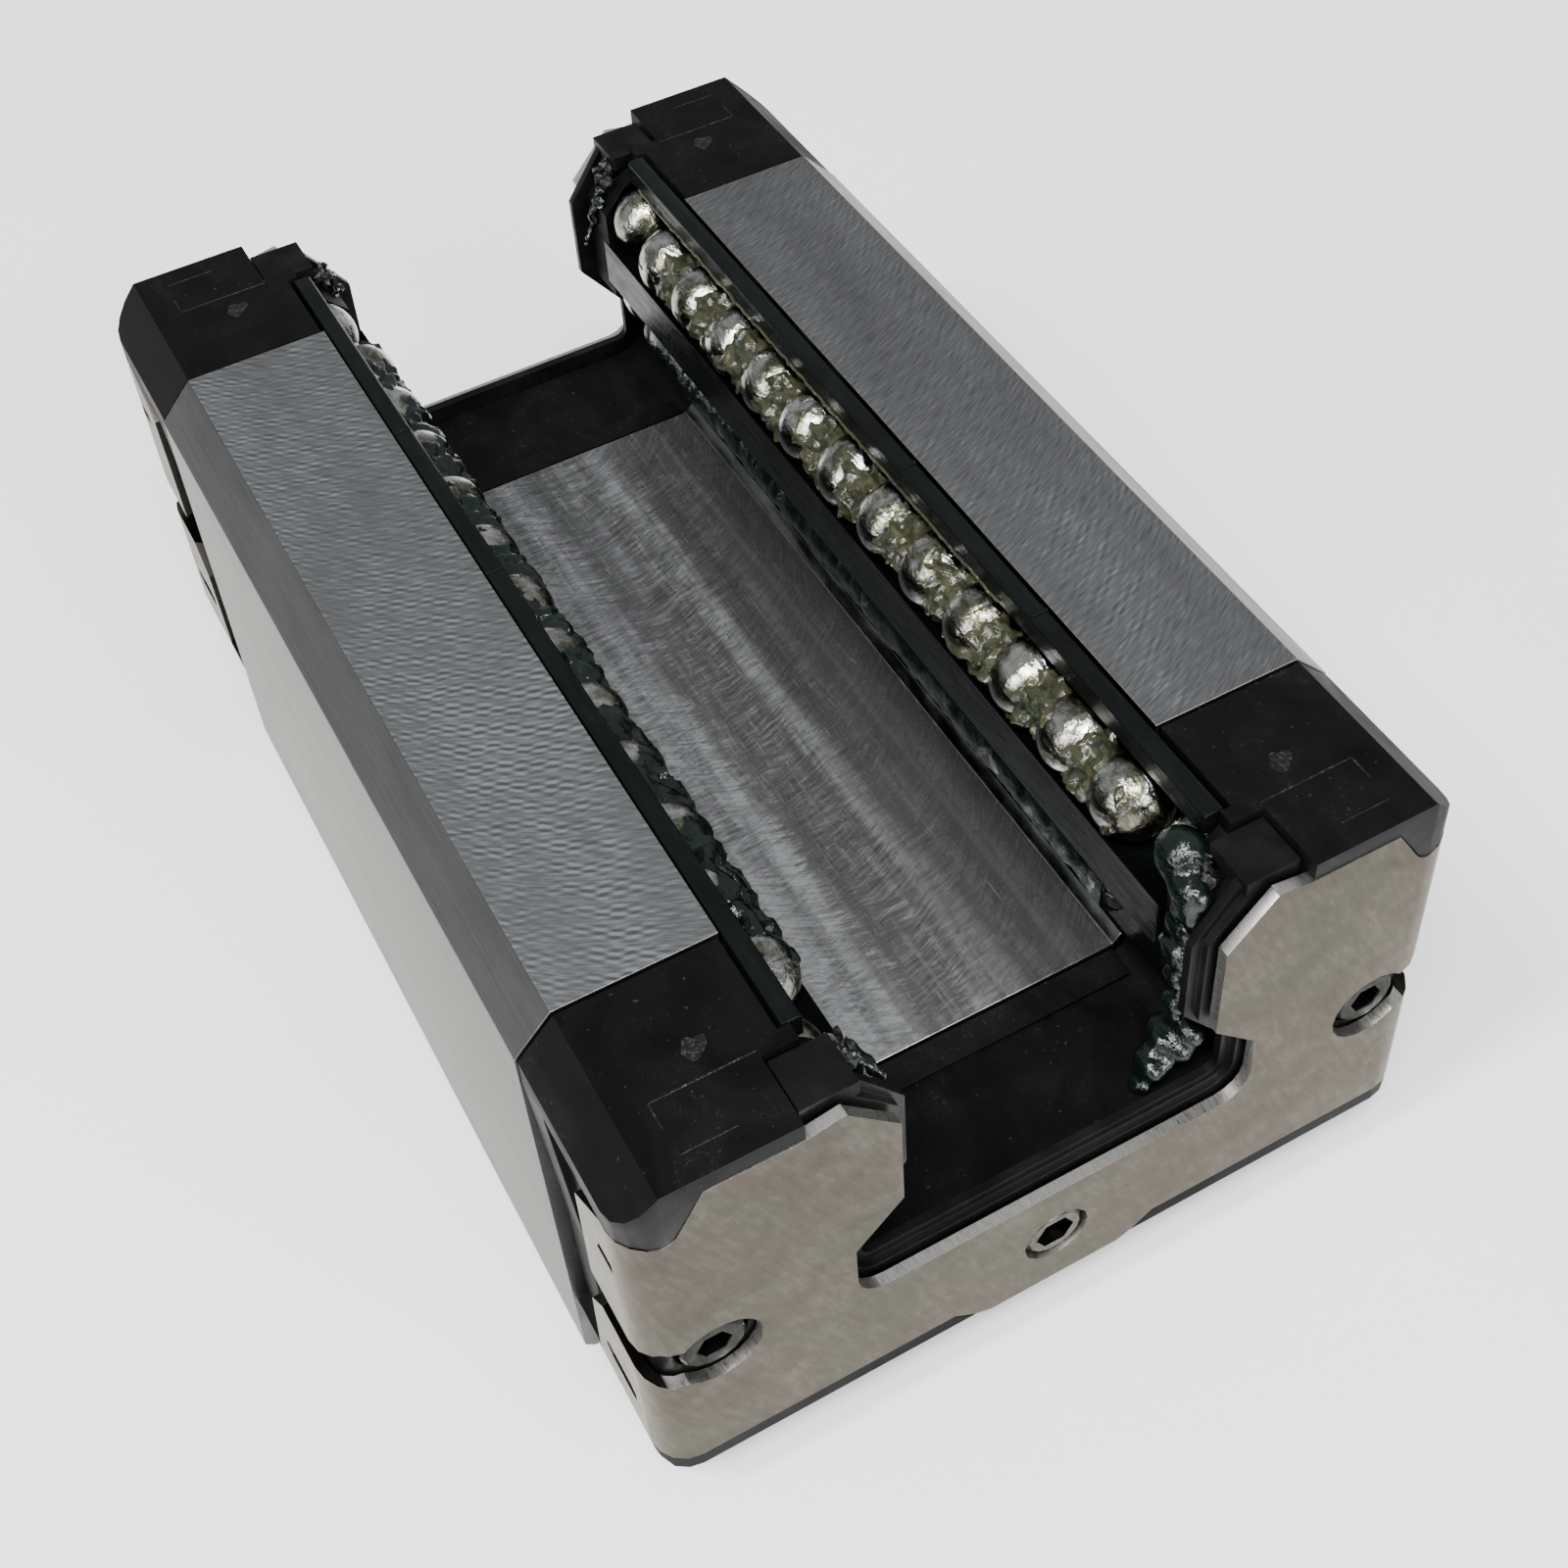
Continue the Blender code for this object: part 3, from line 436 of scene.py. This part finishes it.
def torn_plastic():
    """Torn or raised plastic, rubbed paler than the moulded skin around it."""
    paint = Paint("torn_plastic", grey(0.012), 0.0, 0.35, Specular_IOR_Level=0.3)
    rub = paint.noise(paint.stretched(2.6, 2.6, 2.6), 4, 0.7)
    paint.drive("Base Color", paint.ramp(rub, (0.5, grey(0.002)), (0.62, grey(0.014)), (0.72, grey(0.07))))
    paint.bump(rub, 0.12 * MM, 0.8)
    return paint.material


def seal_rubber():
    """Dull black rubber of the end seals, rubbed smooth in places."""
    paint = Paint("seal_rubber", grey(0.004), 0.0, 0.5, Specular_IOR_Level=0.1)
    skin = paint.noise(paint.stretched(2.5, 2.5, 2.5), 4)
    worn = paint.noise(paint.stretched(0.3, 0.3, 0.3), 3)
    paint.drive("Base Color", paint.ramp(worn, (0.35, grey(0.0015)), (0.7, grey(0.006))))
    paint.drive("Roughness", paint.fit(worn, 0.3, 0.7, 0.55, 0.3))
    paint.bump(skin, 0.04 * MM, 0.5)
    return paint.material


def wet_grease():
    """Used grease: very dark green and glossy."""
    paint = Paint("wet_grease", (0.003, 0.006, 0.0055), 0.0, 0.06, IOR=1.47)
    lumps = paint.noise(paint.stretched(0.7, 0.7, 0.7), 4, 0.6, 0.5)
    tone = paint.ramp(lumps, (0.3, (0.0006, 0.0014, 0.0012)), (0.75, (0.0035, 0.008, 0.007)))
    paint.drive("Base Color", tone)
    paint.drive("Roughness", paint.fit(lumps, 0.3, 0.7, 0.04, 0.18))
    ripple = paint.noise(paint.stretched(2.2, 1.4, 2.2), 3, 0.6, 0.6)
    paint.bump(lumps, 0.3 * MM, 0.5)
    paint.bump(ripple, 0.18 * MM, 0.5)
    return paint.material


def amber_grease():
    """Fresher grease between the balls: thin, amber to olive."""
    paint = Paint("amber_grease", (0.04, 0.04, 0.02), 0.0, 0.07, Transmission_Weight=0.4, IOR=1.47)
    lumps = paint.noise(paint.stretched(1.1, 0.7, 1.1), 4, 0.6, 0.8)
    paint.drive("Base Color", paint.ramp(lumps, (0.3, (0.008, 0.018, 0.012)), (0.7, (0.075, 0.07, 0.036))))
    paint.bump(lumps, 0.3 * MM, 0.6)
    return paint.material


def pale_floor():
    """Floor of the studio, very faintly uneven."""
    paint = Paint("pale_floor", grey(0.82), 0.0, 0.7)
    faint = paint.noise(paint.stretched(0.01, 0.01, 0.01), 3)
    paint.drive("Base Color", paint.ramp(faint, (0.3, grey(0.8)), (0.7, grey(0.84))))
    return paint.material


LOOKS = {
    "milled": milled_steel(),
    "ground": ground_steel(),
    "lapped": lapped_steel(),
    "floor": brushed_floor(),
    "raceway": raceway_steel(),
    "plate": plate_steel(),
    "edge": cut_edge_painted_highlight(),
    "ball": bearing_ball(),
    "black_screw": screw_metal("black_oxide", (0.018, 0.018, 0.019), 0.32),
    "bright_screw": screw_metal("bright_zinc", (0.075, 0.073, 0.066), 0.24),
    "cap": cap_plastic(),
    "greased": greased_plastic(),
    "rubber": seal_rubber(),
    "grease": wet_grease(),
    "amber": amber_grease(),
    "torn": torn_plastic(),
}


# ---------------------------------------------------------------- mesh helpers


def add_piece(name, bm, look, body="carriage", smooth=True):
    """Turn a bmesh into an object that rides on a body; look is a key of LOOKS or a list of them."""
    mesh = bpy.data.meshes.new(name)
    bm.to_mesh(mesh)
    bm.free()
    for key in [look] if isinstance(look, str) else look:
        mesh.materials.append(LOOKS[key])
    if smooth:
        mesh.shade_smooth()
        mesh.set_sharp_from_angle(angle=math.radians(35))
    piece = bpy.data.objects.new(name, mesh)
    bpy.context.scene.collection.objects.link(piece)
    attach(piece, body)
    return piece


def cad_copy(node):
    """The node's surface as a bmesh, with its flat faces whole again."""
    bm = bmesh.new()
    bm.from_mesh(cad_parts[node].data)
    bmesh.ops.remove_doubles(bm, verts=bm.verts, dist=0.002 * MM)
    flat = math.radians(0.5)
    bmesh.ops.dissolve_limit(bm, angle_limit=flat, verts=bm.verts, edges=bm.edges)
    return bm


def round_edges(piece, width):
    bevel = piece.modifiers.new("soft_edges", "BEVEL")
    bevel.width = width
    bevel.segments = 2
    bevel.limit_method = "ANGLE"
    bevel.angle_limit = math.radians(32)
    bevel.harden_normals = True
    return piece


def dress(node, look, edge=0.12 * MM, choose=None):
    """Replace a CAD node by a copy of itself with soft edges; choose picks a look for each face."""
    bm = cad_copy(node)
    if choose:
        for face in bm.faces:
            face.material_index = choose(face)
    piece = add_piece(f"{node}_finished", bm, look)
    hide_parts(node)
    return round_edges(piece, edge)


# ---------------------------------------------------------------- static pieces


STEEL_LOOKS = ["milled", "ground", "lapped", "floor", "raceway"]


def steel_face(face):
    """Index into STEEL_LOOKS for one face of the steel body."""
    low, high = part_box("steel_body")
    normal, centre = face.normal, face.calc_center_median()
    look = "raceway"
    if abs(normal.y) > 0.9:
        look = "ground"
    elif abs(normal.x) > 0.9 and abs(centre.x) > high.x - FLUSH:
        look = "lapped"
    elif normal.z > 0.9 and centre.z > high.z - FLUSH:
        look = "milled"
    elif normal.z < -0.9 and centre.z < low.z + FLUSH:
        look = "lapped"
    elif normal.z > 0.9 and abs(centre.x) < 1 * MM:
        look = "floor"
    elif abs(centre.x) > 30 * MM:
        look = "ground"
    return STEEL_LOOKS.index(look)


def plate_face(face):
    """The sheared edges get a pale look as a painted highlight; the broad face and the wrapped sides are
    rolled skin.
    """
    inner_half_width = 33 * MM
    sheared_painted_highlight = abs(face.normal.y) < 0.5 and abs(face.calc_center_median().x) < inner_half_width
    return int(sheared_painted_highlight)


def dress_carriage():
    """A finished copy of every solid that is not a row of balls."""
    dress("steel_body", STEEL_LOOKS, 0.15 * MM, steel_face)
    for end in ENDS:
        dress(f"end_cap_{end}", "cap", 0.2 * MM)
        dress(f"end_seal_{end}", "rubber", 0.12 * MM)
        dress(f"scraper_plate_{end}", ["plate", "edge"], 0.12 * MM, plate_face)
        dress(f"grease_port_screw_{end}", "bright_screw", 0.1 * MM)
        for side in SIDES:
            dress(f"turn_guide_{end}_{side}", "greased", 0.1 * MM)
            dress(f"cap_screw_{end}_{side}", "black_screw", 0.12 * MM)
    for side in SIDES:
        for strip in ("edge_strip", "centre_retainer", "floor_retainer"):
            dress(f"{strip}_{side}", "greased", 0.1 * MM)


# ---------------------------------------------------------------- balls


def ball_spots(row_node):
    """Ball centres of a straight row, from the row's own box."""
    low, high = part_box(row_node)
    middle = (low + high) / 2
    span = high.y - low.y - 2 * BALL_RADIUS
    return [
        Vector((middle.x, low.y + BALL_RADIUS + span * i / (BALLS_PER_ROW - 1), middle.z))
        for i in range(BALLS_PER_ROW)
    ]


def add_balls(name, spots, body, node, detail=4):
    bm = bmesh.new()
    for spot in spots:
        bmesh.ops.create_icosphere(
            bm, subdivisions=detail, radius=BALL_RADIUS, matrix=Matrix.Translation(spot)
        )
    piece = add_piece(name, bm, "ball", body)
    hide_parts(node)
    return piece


def turn_spots(node):
    """Centres of the two balls of a turn pair: the far ends of its stretched shape."""
    points = [vertex.co.copy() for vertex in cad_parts[node].data.vertices]
    middle = sum(points, Vector()) / len(points)
    tip = max(points, key=lambda point: (point - middle).length)
    reach = (tip - middle).length - BALL_RADIUS
    along = (tip - middle).normalized()
    along = Vector((along.x, along.y, 0)).normalized()  # the pair turns about Z, so it lies flat
    return [middle + along * reach, middle - along * reach]


def make_balls():
    """A polished sphere for every ball, in place of the CAD rows whose balls are joined by necks."""
    for row in ROWS:
        for side in SIDES:
            load, back = f"load_balls_{row}_{side}", f"return_balls_{row}_{side}"
            add_balls(f"{load}_polished", ball_spots(load), f"load_row_{row}_{side}", load)
            add_balls(f"{back}_polished", ball_spots(back), f"return_row_{row}_{side}", back, 3)
            for end in ENDS:
                pair = f"turn_balls_{row}_{end}_{side}"
                body = f"turn_pair_{row}_{end}_{side}"
                add_balls(f"{pair}_polished", turn_spots(pair), body, pair)


# ---------------------------------------------------------------- grease


def grease_sleeve(row, side, angles, level, swing, look, seed):
    """Lumpy crescent of grease along a load row, between two angles about the row's axis.

    The angles count from the channel side upwards. The surface stands level + swing * noise from
    the axis, so the balls show where it is thinner than they are.
    """
    spots = ball_spots(f"load_balls_{row}_{side}")
    toward = -SIDES[side]
    bm = bmesh.new()
    stations, spokes = 300, 22
    overhang, thickness, thickest_film = 1.5 * MM, 1.6 * MM, 0.16 * MM
    start, stop = spots[0].y - overhang, spots[-1].y + overhang
    inside = level - thickness
    rings = []
    for i in range(stations + 1):
        y = start + (stop - start) * i / stations
        ring = []
        for k in range(spokes + 1):
            angle = math.radians(angles[0] + (angles[1] - angles[0]) * k / spokes)
            lift = noise.fractal(Vector((y / (1.9 * MM), angle * 2.2, seed)), 0.8, 2.1, 3)
            edge = min(k, spokes - k) / 4
            reach = level + swing * lift - 1.2 * MM * max(0.0, 1 - edge) ** 2
            reach = min(reach, BALL_RADIUS + thickest_film)
            ring.append((reach, angle))
        ring += [(inside, angle) for _, angle in reversed(ring)]
        corner = [
            (spots[0].x + toward * math.cos(angle) * reach, y, spots[0].z + math.sin(angle) * reach)
            for reach, angle in ring
        ]
        rings.append([bm.verts.new(point) for point in corner])
    for near, far in zip(rings, rings[1:]):
        for k in range(len(near)):
            j = (k + 1) % len(near)
            bm.faces.new((near[k], near[j], far[j], far[k]))
    bm.faces.new(rings[0])
    bm.faces.new(rings[-1])
    bmesh.ops.recalc_face_normals(bm, faces=bm.faces)
    return add_piece(f"grease_{row}_{side}", bm, look, f"load_row_{row}_{side}")


def grease_mass(name, blobs, look="grease", voxel=0.22 * MM):
    """Blobs, each a (centre, radii) pair in millimetres, melted into one lump."""
    bm = bmesh.new()
    for centre, radii in blobs:
        shape = Matrix.Translation(Vector(centre) * MM) @ Matrix.Diagonal((*(Vector(radii) * MM), 1))
        bmesh.ops.create_icosphere(bm, subdivisions=3, radius=1, matrix=shape)
    piece = add_piece(name, bm, look)
    melt = piece.modifiers.new("melt", "REMESH")
    melt.mode = "VOXEL"
    melt.voxel_size = voxel
    melt.use_smooth_shade = True
    ease = piece.modifiers.new("ease", "SMOOTH")
    ease.factor = 0.6
    ease.iterations = 5
    return piece


def smear(start, end, size, count, spread, chance):
    """Blobs scattered along a line, from fat at the start to thin at the end, in millimetres."""
    blobs = []
    for i in range(count):
        share = i / max(1, count - 1)
        point = Vector(start).lerp(Vector(end), share)
        point += Vector([chance.uniform(-spread, spread) for _ in range(3)])
        fat = size * (1 - 0.55 * share) * chance.uniform(0.7, 1.2)
        blobs.append((point, (fat, fat * chance.uniform(0.9, 1.7), fat * chance.uniform(0.7, 1.1))))
    return blobs


SLEEVES = (  # row, side, angles in degrees, level and swing in millimetres, look, place in the noise
    ("outer", "right", (-60, 118), 3.0, 1.0, "amber", 3.1),
    ("outer", "left", (-60, 118), 3.3, 0.8, "grease", 7.7),
    ("inner", "right", (-95, 88), 3.62, 0.3, "grease", 11.3),
    ("inner", "left", (-95, 88), 3.62, 0.3, "grease", 5.9),
)
MASSES = {  # smears of each mass: start, end, size, count, spread; all in millimetres
    "grease_corner_right": (
        ((14.9, -48.9, 43.2), (13.7, -52.5, 40.5), 1.9, 14, 0.7),
        ((14.2, -50.0, 40.4), (13.4, -51.9, 28.4), 1.55, 18, 0.6),
    ),
    "grease_pool_right": (((15.6, -50.6, 24.6), (10.6, -51.7, 21.0), 1.7, 14, 0.5),),
    "grease_corner_left": (((-14.2, -50.2, 43.2), (-12.9, -52.4, 41.2), 0.8, 6, 0.3),),
    "grease_far_right": (((14.1, 50.4, 43.0), (12.9, 52.3, 36.0), 0.7, 10, 0.3),),
}


def make_grease():
    """Grease on the load rows, in the corners and pressed out along the edge strips."""
    for row, side, angles, level, swing, look, seed in SLEEVES:
        grease_sleeve(row, side, angles, level * MM, swing * MM, look, seed)
    chance = random.Random(35)
    for name, smears in MASSES.items():
        blobs = []
        for start, end, size, count, spread in smears:
            blobs += smear(start, end, size, count, spread, chance)
        grease_mass(name, blobs)
    thread_x, thread_z, thread_radii = 16.72, 44.62, (0.2, 0.5, 0.2)
    for side, sign in SIDES.items():
        far_end, near_end = (sign * thread_x, 46.0, thread_z), (sign * thread_x, -20.0, thread_z)
        places = smear(far_end, near_end, 0.26, 110, 0.07, chance)  # its blob sizes are not used
        thread = [(centre, thread_radii) for centre, _ in places]
        grease_mass(f"grease_thread_{side}", thread, "amber", voxel=0.1 * MM)


# ---------------------------------------------------------------- moulded details


def add_block(name, low, high, look, edge=0.05 * MM, lean=0.0):
    """Small moulded block with soft edges; lean lowers the top at its outer Y end."""
    bm = bmesh.new()
    bmesh.ops.create_cube(bm, size=1)
    for vertex in bm.verts:
        share = vertex.co + Vector((0.5, 0.5, 0.5))
        vertex.co = [low[i] + (high[i] - low[i]) * share[i] for i in range(3)]
        outer = abs(vertex.co.y) > max(abs(low[1]), abs(high[1])) - 0.01 * MM
        if lean and outer and share.z > 0.5:
            vertex.co.z -= lean
    return round_edges(add_piece(name, bm, look, smooth=False), edge)


def gate_mark(name, x, y, top, chance):
    """Torn stub that the injection gate leaves, in a shallow ring; the profile is in millimetres."""
    bm = bmesh.new()
    turns = 28
    profile = [(1.0, 0.0), (0.85, 0.04), (0.7, 0.015), (0.5, 0.015), (0.32, 0.075), (0.15, 0.06)]
    rings = []
    for radius, height in profile:
        ring = []
        for k in range(turns):
            angle = math.tau * k / turns
            wobble = 1 + 0.6 * noise.noise(Vector((math.cos(angle), math.sin(angle), radius * 2 + x)))
            lift = height * chance.uniform(0.6, 1.1)
            across = x + radius * wobble * math.cos(angle) * MM
            along = y + radius * wobble * math.sin(angle) * MM
            ring.append(bm.verts.new((across, along, top + lift * MM)))
        rings.append(ring)
    for outer, inner in zip(rings, rings[1:]):
        for k in range(turns):
            j = (k + 1) % turns
            bm.faces.new((outer[k], outer[j], inner[j], inner[k]))
    bm.faces.new(rings[-1])
    return add_piece(name, bm, "torn")


def add_crumbs(name, centre, spread, count, look, chance):
    """Angular crumbs of torn plastic around a spot; centre and spread are in millimetres."""
    bm = bmesh.new()
    for _ in range(count):
        spot = Vector([centre[i] + chance.uniform(-spread[i], spread[i]) for i in range(3)])
        size = Vector([chance.uniform(0.25, 0.75) for _ in range(3)])
        turn = Matrix.Rotation(chance.uniform(0, math.tau), 4, "Z")
        turn = turn @ Matrix.Rotation(chance.uniform(0, 1.2), 4, "X")
        shape = Matrix.Translation(spot * MM) @ turn @ Matrix.Diagonal((*(size * MM), 1))
        made = bmesh.ops.create_icosphere(bm, subdivisions=1, radius=1, matrix=shape)
        for vertex in made["verts"]:
            vertex.co += Vector([chance.uniform(-0.15, 0.15) * MM for _ in range(3)])
    return add_piece(name, bm, look, smooth=False)


PARTING_LINES = {  # outline of the core insert on a cap's top: x and y ranges in millimetres
    "across": ((20.9, 29.2), (49.35, 49.5)),
    "along": ((29.05, 29.2), (49.35, 51.6)),
    "end": ((24.6, 29.0), (53.9, 54.02)),
}
TICKS = {"left": (22.9, 2.6), "right": (-4.4, -24.8)}  # y of the moulded ticks on an edge strip


def add_floor_ramp(end, sy):
    """Low ramp where the channel floor of a cap runs on to the steel."""
    half_width, sunk, height = 15.9 * MM, 0.05 * MM, 0.34 * MM
    near, far = sorted((sy * 39.8 * MM, sy * 42.4 * MM))
    low, high = (-half_width, near, FLOOR_LEVEL - sunk), (half_width, far, FLOOR_LEVEL + height)
    add_block(f"floor_ramp_{end}", low, high, "cap", 0.04 * MM, lean=0.3 * MM)


def add_cap_marks(end, side, top, chance):
    """Gate mark and parting lines on the top of a cap."""
    sx, sy = SIDES[side], ENDS[end]
    gate_mark(f"gate_mark_{end}_{side}", sx * 24.5 * MM, sy * 47.0 * MM, top - 0.005 * MM, chance)
    sunk, height = 0.1 * MM, 0.045 * MM
    for label, (x, y) in PARTING_LINES.items():
        span_x = sorted(sx * value * MM for value in x)
        span_y = sorted(sy * value * MM for value in y)
        low, high = (span_x[0], span_y[0], top - sunk), (span_x[1], span_y[1], top + height)
        name = f"parting_line_{label}_{end}_{side}"
        add_block(name, low, high, "torn", 0.03 * MM)


def add_strip_ticks(side, sx):
    """Short raised ticks across an edge strip."""
    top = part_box(f"edge_strip_{side}")[1].z
    span_x = sorted((sx * 16.9 * MM, sx * 18.45 * MM))
    half_length, sunk, height = 0.2, 0.3 * MM, 0.12 * MM
    for i, y in enumerate(TICKS[side]):
        low = (span_x[0], (y - half_length) * MM, top - sunk)
        high = (span_x[1], (y + half_length) * MM, top + height)
        add_block(f"strip_tick_{side}_{i}", low, high, "greased", 0.05 * MM)


def make_moulded_details():
    """Marks of moulding on the caps and strips, and crumbs of torn plastic at the cap corners."""
    chance = random.Random(7)
    for end, sy in ENDS.items():
        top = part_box(f"end_cap_{end}")[1].z
        add_floor_ramp(end, sy)
        for side in SIDES:
            add_cap_marks(end, side, top, chance)
        for side, sx in SIDES.items():
            torn_at, wet_at = (sx * 15.3, sy * 50.9, 44.3), (sx * 14.4, sy * 51.0, 42.6)
            torn_spread, wet_spread = (0.9, 1.0, 0.8), (0.7, 1.1, 1.2)
            name = f"crumbs_{end}_{side}"
            add_crumbs(name, torn_at, torn_spread, 12, "torn", chance)
            add_crumbs(f"wet_{name}", wet_at, wet_spread, 9, "grease", chance)
    for side, sx in SIDES.items():
        add_strip_ticks(side, sx)


# ---------------------------------------------------------------- stage


def look_at(obj, target):
    obj.rotation_mode = "QUATERNION"
    obj.rotation_quaternion = (Vector(target) - obj.location).to_track_quat("-Z", "Y")


def add_area(name, location, target, size, power):
    light = bpy.data.lights.new(name, "AREA")
    light.shape = "RECTANGLE"
    light.size, light.size_y = size
    light.energy = power
    lamp = bpy.data.objects.new(name, light)
    bpy.context.scene.collection.objects.link(lamp)
    lamp.location = location
    look_at(lamp, target)


LIGHTS = (  # name, place, size, watts
    ("overhead", (-0.25, -0.45, 1.1), (0.5, 0.22), 22),
    ("window", (-0.55, -0.1, 0.95), (0.12, 0.3), 9),
    ("front", (0.2, -1.2, 0.75), (0.9, 0.5), 22),
    ("side", (-1.2, -0.2, 0.6), (0.5, 0.7), 12),
)


def make_stage():
    """Pale floor just under the carriage, soft sky and four area lights."""
    bm = bmesh.new()
    bmesh.ops.create_grid(bm, x_segments=1, y_segments=1, size=3.0)
    mesh = bpy.data.meshes.new("studio_floor")
    bm.to_mesh(mesh)
    bm.free()
    mesh.materials.append(pale_floor())
    floor = bpy.data.objects.new("studio_floor", mesh)
    floor.location.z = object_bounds()[0].z - 0.02 * MM
    bpy.context.scene.collection.objects.link(floor)
    world = bpy.data.worlds.new("studio")
    world.use_nodes = True
    sky = world.node_tree.nodes["Background"]
    sky.inputs["Color"].default_value = (0.93, 0.96, 1.0, 1)
    sky.inputs["Strength"].default_value = 0.5
    bpy.context.scene.world = world
    for name, place, size, power in LIGHTS:
        add_area(name, place, (0, 0, 0.03), size, power)


def make_camera():
    """Camera at the place and lens that were fitted to the photograph."""
    camera = bpy.data.cameras.new("camera")
    camera.lens = 53.0
    camera.sensor_width = 36.0
    camera.shift_y = -0.1
    camera.clip_start = 0.005
    eye = bpy.data.objects.new("camera", camera)
    eye.location = (-0.05436, -0.13011, 0.1795)
    eye.rotation_euler = [math.radians(angle) for angle in (43.558, 3.148, -28.549)]
    bpy.context.scene.collection.objects.link(eye)
    bpy.context.scene.camera = eye


dress_carriage()
make_balls()
make_grease()
make_moulded_details()
make_stage()
make_camera()
